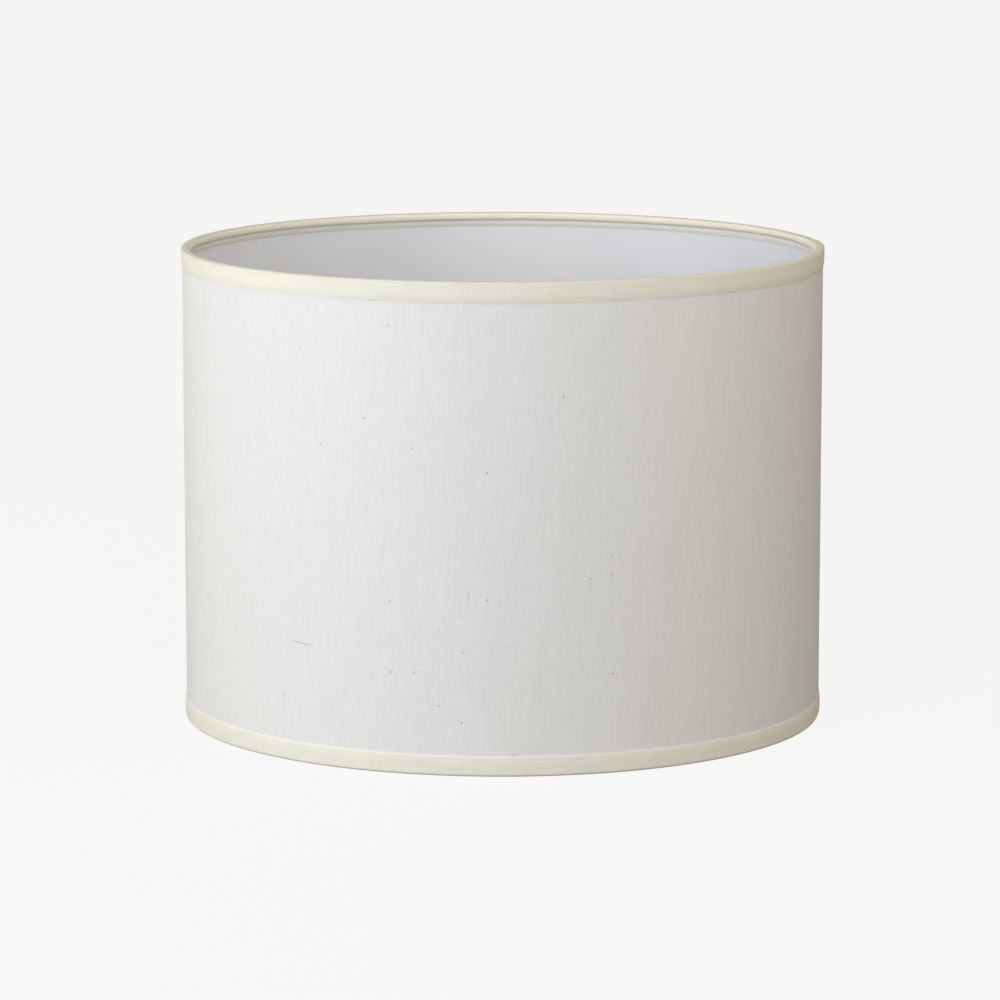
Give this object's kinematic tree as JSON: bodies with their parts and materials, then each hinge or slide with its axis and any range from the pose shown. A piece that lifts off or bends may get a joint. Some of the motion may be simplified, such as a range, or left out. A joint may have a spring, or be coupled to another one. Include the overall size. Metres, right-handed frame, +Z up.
{
  "type": "lamp shade",
  "caption": "Drum lamp shade: white cotton over a PVC liner, cream bound rims, wire rings and a spider fitter in the base with a lift-out reducer ring.",
  "frame": {"origin": "centre of the bottom rim, on the plane that the shade stands on", "axes": "+Z up along the shade's axis, from the fitter end to the open top; the side seam is near +X"},
  "size_m": [0.4012, 0.3998, 0.295],
  "materials": {
    "cotton_cover": "unbleached plain-weave cotton with slubs and a few dark seed flecks",
    "cream_tape": "cream woven tape, folded and bonded",
    "white_pvc": "smooth satin white sheet",
    "adhesive": "double-sided adhesive tape",
    "coated_wire": "white epoxy-coated steel",
    "white_plastic": "moulded white plastic"
  },
  "bodies": {
    "shade": {"cover_fabric": "cotton_cover", "liner": "white_pvc", "seam_tape": "adhesive", "top_ring": "coated_wire", "bottom_ring": "coated_wire", "spider_arm_1": "coated_wire", "spider_arm_2": "coated_wire", "spider_arm_3": "coated_wire", "fitter_ring": "coated_wire", "top_trim": "cream_tape", "bottom_trim": "cream_tape"},
    "reducer": {"reducer_ring": "white_plastic"}
  },
  "joints": [
    {"name": "reducer_lift", "type": "slide", "parent": "shade", "child": "reducer", "axis": [0, 0, 1], "range_m": [0, 0.3]}
  ]
}
